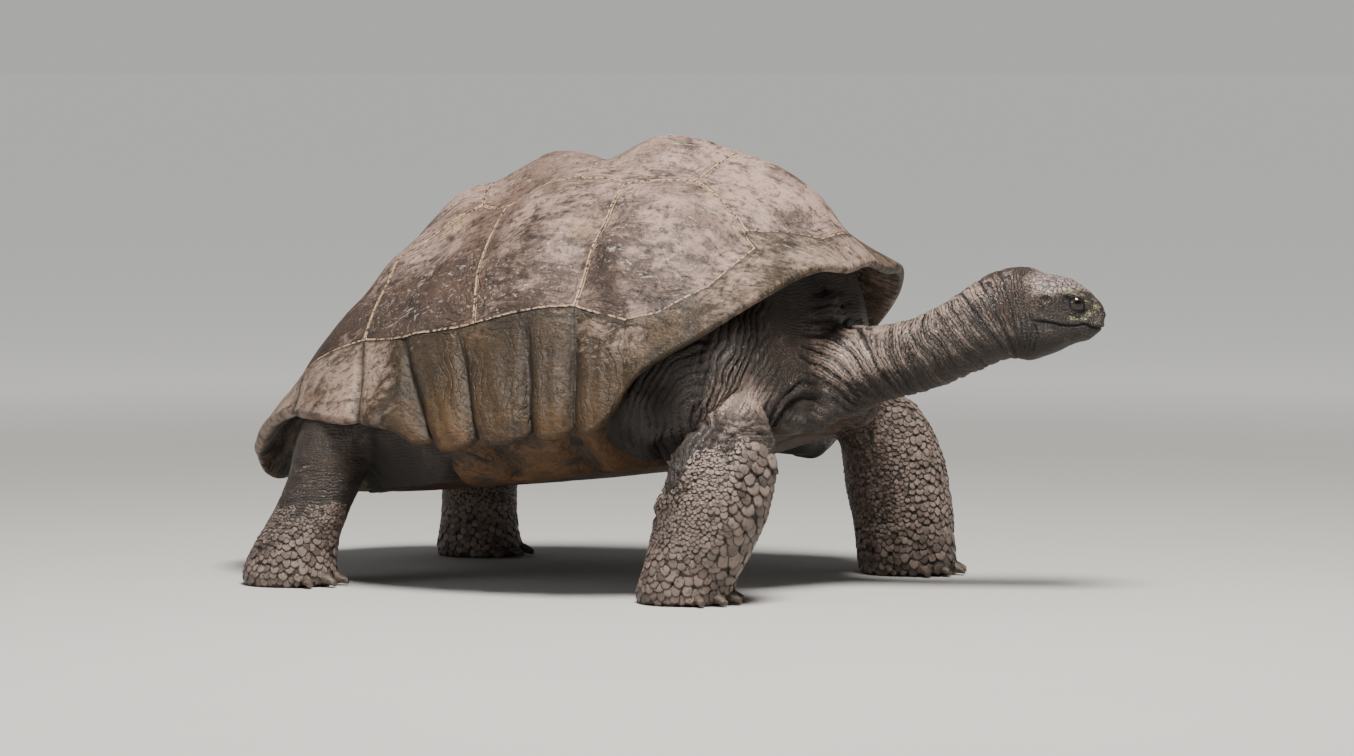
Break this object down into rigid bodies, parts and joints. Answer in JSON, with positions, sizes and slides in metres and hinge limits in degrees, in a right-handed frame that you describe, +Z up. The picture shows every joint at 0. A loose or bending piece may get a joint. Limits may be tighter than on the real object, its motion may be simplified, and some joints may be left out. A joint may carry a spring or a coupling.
{
  "type": "giant tortoise",
  "caption": "Life-size giant tortoise with a high domed shell, walking with its neck stretched forward, standing on four column-like legs.",
  "frame": {"origin": "centre of the box round the animal, at the floor its four soles stand on", "axes": "+X from the tail towards the head, +Y to the animal's left, +Z up"},
  "size_m": [1.561, 0.839, 0.7735],
  "materials": {
    "scute": "worn horn, dull, finely scratched",
    "rim_scute": "worn horn, dull, olive brown at the edge",
    "belly_scute": "worn horn, dull, orange brown",
    "skin": "dry, scaled and wrinkled, slightly shiny on the neck",
    "eye": "wet and glossy"
  },
  "bodies": {
    "root": {"abdominal_left": "belly_scute", "abdominal_right": "belly_scute", "anal_left": "belly_scute", "anal_right": "belly_scute", "eye_left": "eye", "eye_right": "eye", "femoral_left": "belly_scute", "femoral_right": "belly_scute", "foreleg_left": "skin", "foreleg_right": "skin", "gular_left": "belly_scute", "gular_right": "belly_scute", "head": "skin", "hindleg_left": "skin", "hindleg_right": "skin", "humeral_left": "belly_scute", "humeral_right": "belly_scute", "marginal_left_1": "rim_scute", "marginal_left_10": "rim_scute", "marginal_left_11": "rim_scute", "marginal_left_2": "rim_scute", "marginal_left_3": "rim_scute", "marginal_left_4": "rim_scute", "marginal_left_5": "rim_scute", "marginal_left_6": "rim_scute", "marginal_left_7": "rim_scute", "marginal_left_8": "rim_scute", "marginal_left_9": "rim_scute", "marginal_right_1": "rim_scute", "marginal_right_10": "rim_scute", "marginal_right_11": "rim_scute", "marginal_right_2": "rim_scute", "marginal_right_3": "rim_scute", "marginal_right_4": "rim_scute", "marginal_right_5": "rim_scute", "marginal_right_6": "rim_scute", "marginal_right_7": "rim_scute", "marginal_right_8": "rim_scute", "marginal_right_9": "rim_scute", "neck": "skin", "nuchal": "rim_scute", "pectoral_left": "belly_scute", "pectoral_right": "belly_scute", "pleural_left_1": "scute", "pleural_left_2": "scute", "pleural_left_3": "scute", "pleural_left_4": "scute", "pleural_right_1": "scute", "pleural_right_2": "scute", "pleural_right_3": "scute", "pleural_right_4": "scute", "supracaudal": "rim_scute", "tail": "skin", "trunk": "skin", "vertebral_1": "scute", "vertebral_2": "scute", "vertebral_3": "scute", "vertebral_4": "scute", "vertebral_5": "scute"}
  },
  "joints": []
}
